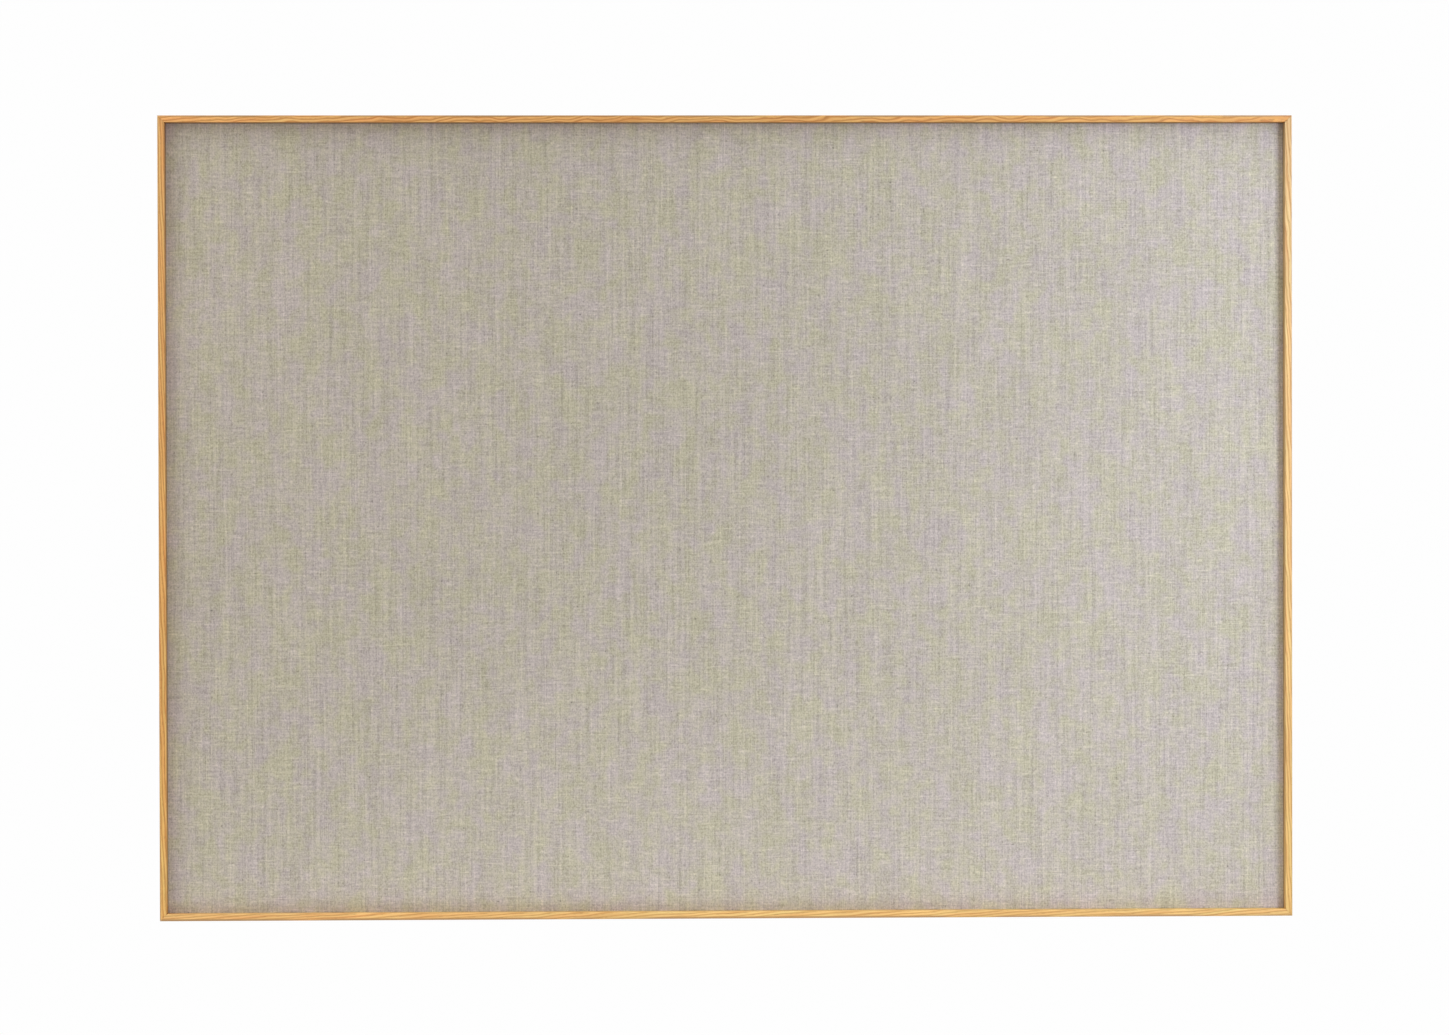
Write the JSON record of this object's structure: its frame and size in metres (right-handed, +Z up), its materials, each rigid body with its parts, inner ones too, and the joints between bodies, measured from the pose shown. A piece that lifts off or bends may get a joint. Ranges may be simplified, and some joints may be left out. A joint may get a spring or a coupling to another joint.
{
  "type": "pin board",
  "caption": "Wall-hung pin board: a linen-covered soft panel set back in a slim mitred oak frame, with battens, corner plates and swinging ring hangers behind.",
  "frame": {"origin": "on the wall plane, behind the middle of the board", "axes": "+X to the right and +Z up as the board is seen; the front looks towards -Y and the wall is at +Y"},
  "size_m": [1.2, 0.0398, 0.85],
  "materials": {
    "oak": "clear oiled oak, satin",
    "linen": "natural undyed linen, plain weave with slubs",
    "soft_board": "pressed wood-fibre soft board",
    "hard_board": "smooth brown hardboard",
    "batten_wood": "planed bare softwood",
    "plate_steel": "zinc plated",
    "screw_steel": "bright zinc plated",
    "bumper_rubber": "soft matt"
  },
  "bodies": {
    "board": {"top_rail": "oak", "bottom_rail": "oak", "left_stile": "oak", "right_stile": "oak", "top_batten": "batten_wood", "bottom_batten": "batten_wood", "left_batten": "batten_wood", "right_batten": "batten_wood", "pin_core": "soft_board", "carrier_board": "hard_board", "linen_cover": "linen", "panel_screw_1": "screw_steel", "panel_screw_2": "screw_steel", "panel_screw_3": "screw_steel", "panel_screw_4": "screw_steel", "panel_screw_5": "screw_steel", "panel_screw_6": "screw_steel", "panel_screw_7": "screw_steel", "panel_screw_8": "screw_steel", "panel_screw_9": "screw_steel", "panel_screw_10": "screw_steel", "mitre_wedge_bottom_left": "plate_steel", "corner_plate_bottom_left": "plate_steel", "plate_screw_bottom_left_1": "screw_steel", "plate_screw_bottom_left_2": "screw_steel", "plate_screw_bottom_left_3": "screw_steel", "plate_screw_bottom_left_4": "screw_steel", "wall_bumper_bottom_left": "bumper_rubber", "mitre_wedge_bottom_right": "plate_steel", "corner_plate_bottom_right": "plate_steel", "plate_screw_bottom_right_1": "screw_steel", "plate_screw_bottom_right_2": "screw_steel", "plate_screw_bottom_right_3": "screw_steel", "plate_screw_bottom_right_4": "screw_steel", "wall_bumper_bottom_right": "bumper_rubber", "mitre_wedge_top_left": "plate_steel", "corner_plate_top_left": "plate_steel", "plate_screw_top_left_1": "screw_steel", "plate_screw_top_left_2": "screw_steel", "plate_screw_top_left_3": "screw_steel", "plate_screw_top_left_4": "screw_steel", "wall_bumper_top_left": "bumper_rubber", "mitre_wedge_top_right": "plate_steel", "corner_plate_top_right": "plate_steel", "plate_screw_top_right_1": "screw_steel", "plate_screw_top_right_2": "screw_steel", "plate_screw_top_right_3": "screw_steel", "plate_screw_top_right_4": "screw_steel", "wall_bumper_top_right": "bumper_rubber", "hanger_strap_left": "plate_steel", "hanger_screw_left_1": "screw_steel", "hanger_screw_left_2": "screw_steel", "hanger_strap_right": "plate_steel", "hanger_screw_right_1": "screw_steel", "hanger_screw_right_2": "screw_steel"},
    "left_ring": {"hanger_ring_left": "screw_steel"},
    "right_ring": {"hanger_ring_right": "screw_steel"}
  },
  "joints": [
    {"name": "left_ring_swing", "type": "hinge", "parent": "board", "child": "left_ring", "pos_m": [-0.5829, -0.0027, 0.295], "axis": [1, 0, 0], "range_deg": [0, 180]},
    {"name": "right_ring_swing", "type": "hinge", "parent": "board", "child": "right_ring", "pos_m": [0.5829, -0.0027, 0.295], "axis": [1, 0, 0], "range_deg": [0, 180]}
  ]
}
